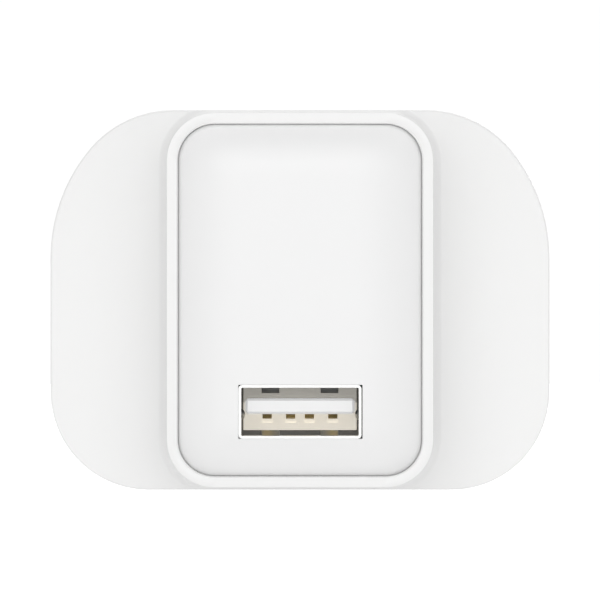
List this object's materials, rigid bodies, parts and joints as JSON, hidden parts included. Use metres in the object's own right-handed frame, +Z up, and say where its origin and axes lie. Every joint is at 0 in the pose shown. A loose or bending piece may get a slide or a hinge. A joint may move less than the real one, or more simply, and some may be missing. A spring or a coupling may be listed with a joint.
{
  "type": "usb wall charger",
  "caption": "White plug-in USB mains charger: upright rounded block on a wide base with three flat mains pins behind and one USB-A port low on the front.",
  "frame": {"origin": "centre of the flat back face, the one that rests on the wall socket", "axes": "+X to the right seen from the front, +Y into the wall along the mains pins, +Z up; the USB port faces -Y"},
  "size_m": [0.0536, 0.0567, 0.0408],
  "materials": {
    "shell_white": "white moulded polycarbonate, fine satin",
    "panel_white": "white moulded polycarbonate, smooth satin",
    "clamp_white": "natural white moulded plastic",
    "earth_pin_white": "white moulded nylon",
    "sleeve_black": "black moulded insulation",
    "pin_metal": "bright nickel plate on brass",
    "strip_metal": "phosphor bronze strip",
    "contact_gold": "gold plated copper alloy",
    "shell_metal": "nickel plated steel sheet",
    "tongue_plastic": "white moulded connector plastic",
    "board_green": "solder mask on glass laminate",
    "tin": "tinned wire and solder",
    "ferrite": "dark sintered ferrite",
    "bobbin_black": "black phenolic",
    "copper_wire": "enamelled copper wire",
    "tape_yellow": "polyester tape",
    "can_aluminium": "drawn aluminium can",
    "sleeve_blue": "shrunk film sleeve",
    "sleeve_green": "shrunk film sleeve",
    "rubber_bung": "black rubber",
    "resistor_green": "lacquered ceramic rod",
    "disc_blue": "dipped blue resin",
    "chip_black": "black epoxy",
    "chip_white": "white epoxy",
    "film_amber": "insulating film"
  },
  "bodies": {
    "charger": {"front_housing": "shell_white", "front_panel": "panel_white", "base_plate": "shell_white", "pin_retainer": "clamp_white", "live_pin": "pin_metal", "neutral_pin": "pin_metal", "live_pin_sleeve": "sleeve_black", "neutral_pin_sleeve": "sleeve_black", "earth_pin": "earth_pin_white", "live_contact_strip": "strip_metal", "neutral_contact_strip": "strip_metal", "main_board": "board_green", "usb_board": "board_green", "insulation_sheet": "film_amber", "usb_shell": "shell_metal", "usb_insulator": "tongue_plastic", "contact_tails": "contact_gold", "transformer_core_front": "ferrite", "transformer_core_rear": "ferrite", "transformer_bobbin": "bobbin_black", "transformer_winding": "copper_wire", "transformer_tape": "tape_yellow", "transformer_pins": "tin", "upper_bulk_capacitor_can": "can_aluminium", "upper_bulk_capacitor_sleeve": "sleeve_blue", "lower_bulk_capacitor_can": "can_aluminium", "lower_bulk_capacitor_sleeve": "sleeve_blue", "left_output_capacitor_can": "can_aluminium", "left_output_capacitor_sleeve": "sleeve_green", "right_output_capacitor_can": "can_aluminium", "right_output_capacitor_sleeve": "sleeve_green", "capacitor_bungs": "rubber_bung", "capacitor_leads": "tin", "choke_core": "ferrite", "choke_winding": "copper_wire", "choke_leads": "tin", "fuse_resistor": "resistor_green", "fuse_resistor_leads": "tin", "safety_capacitor": "disc_blue", "safety_capacitor_leads": "tin", "bridge_rectifier": "chip_black", "optocoupler": "chip_white", "control_chip": "chip_black", "power_transistor": "chip_black", "output_diode": "chip_black", "chip_resistors": "chip_black", "solder_joints": "tin"},
    "vbus_contact": {"vbus_contact": "contact_gold"},
    "data_minus_contact": {"data_minus_contact": "contact_gold"},
    "data_plus_contact": {"data_plus_contact": "contact_gold"},
    "ground_contact": {"ground_contact": "contact_gold"},
    "top_left_grip_spring": {"top_left_grip_spring": "shell_metal"},
    "top_right_grip_spring": {"top_right_grip_spring": "shell_metal"},
    "bottom_left_grip_spring": {"bottom_left_grip_spring": "shell_metal"},
    "bottom_right_grip_spring": {"bottom_right_grip_spring": "shell_metal"}
  },
  "joints": [
    {"name": "vbus_contact_flex", "type": "hinge", "parent": "charger", "child": "vbus_contact", "pos_m": [0.0035, -0.0224, -0.01171], "axis": [-1, 0, 0], "range_deg": [0, 2.6], "stiffness_Nm_per_rad": 0.02},
    {"name": "data_minus_contact_flex", "type": "hinge", "parent": "charger", "child": "data_minus_contact", "pos_m": [0.001, -0.0224, -0.01171], "axis": [-1, 0, 0], "range_deg": [0, 2.6], "stiffness_Nm_per_rad": 0.02},
    {"name": "data_plus_contact_flex", "type": "hinge", "parent": "charger", "child": "data_plus_contact", "pos_m": [-0.001, -0.0224, -0.01171], "axis": [-1, 0, 0], "range_deg": [0, 2.6], "stiffness_Nm_per_rad": 0.02},
    {"name": "ground_contact_flex", "type": "hinge", "parent": "charger", "child": "ground_contact", "pos_m": [-0.0035, -0.0224, -0.01171], "axis": [-1, 0, 0], "range_deg": [0, 2.6], "stiffness_Nm_per_rad": 0.02},
    {"name": "top_left_grip_spring_flex", "type": "hinge", "parent": "charger", "child": "top_left_grip_spring", "pos_m": [-0.00315, -0.0314, -0.00919], "axis": [1, 0, 0], "range_deg": [0, 5], "stiffness_Nm_per_rad": 0.02},
    {"name": "top_right_grip_spring_flex", "type": "hinge", "parent": "charger", "child": "top_right_grip_spring", "pos_m": [0.00315, -0.0314, -0.00919], "axis": [1, 0, 0], "range_deg": [0, 5], "stiffness_Nm_per_rad": 0.02},
    {"name": "bottom_left_grip_spring_flex", "type": "hinge", "parent": "charger", "child": "bottom_left_grip_spring", "pos_m": [-0.00315, -0.0314, -0.01461], "axis": [-1, 0, 0], "range_deg": [0, 5], "stiffness_Nm_per_rad": 0.02},
    {"name": "bottom_right_grip_spring_flex", "type": "hinge", "parent": "charger", "child": "bottom_right_grip_spring", "pos_m": [0.00315, -0.0314, -0.01461], "axis": [-1, 0, 0], "range_deg": [0, 5], "stiffness_Nm_per_rad": 0.02}
  ]
}
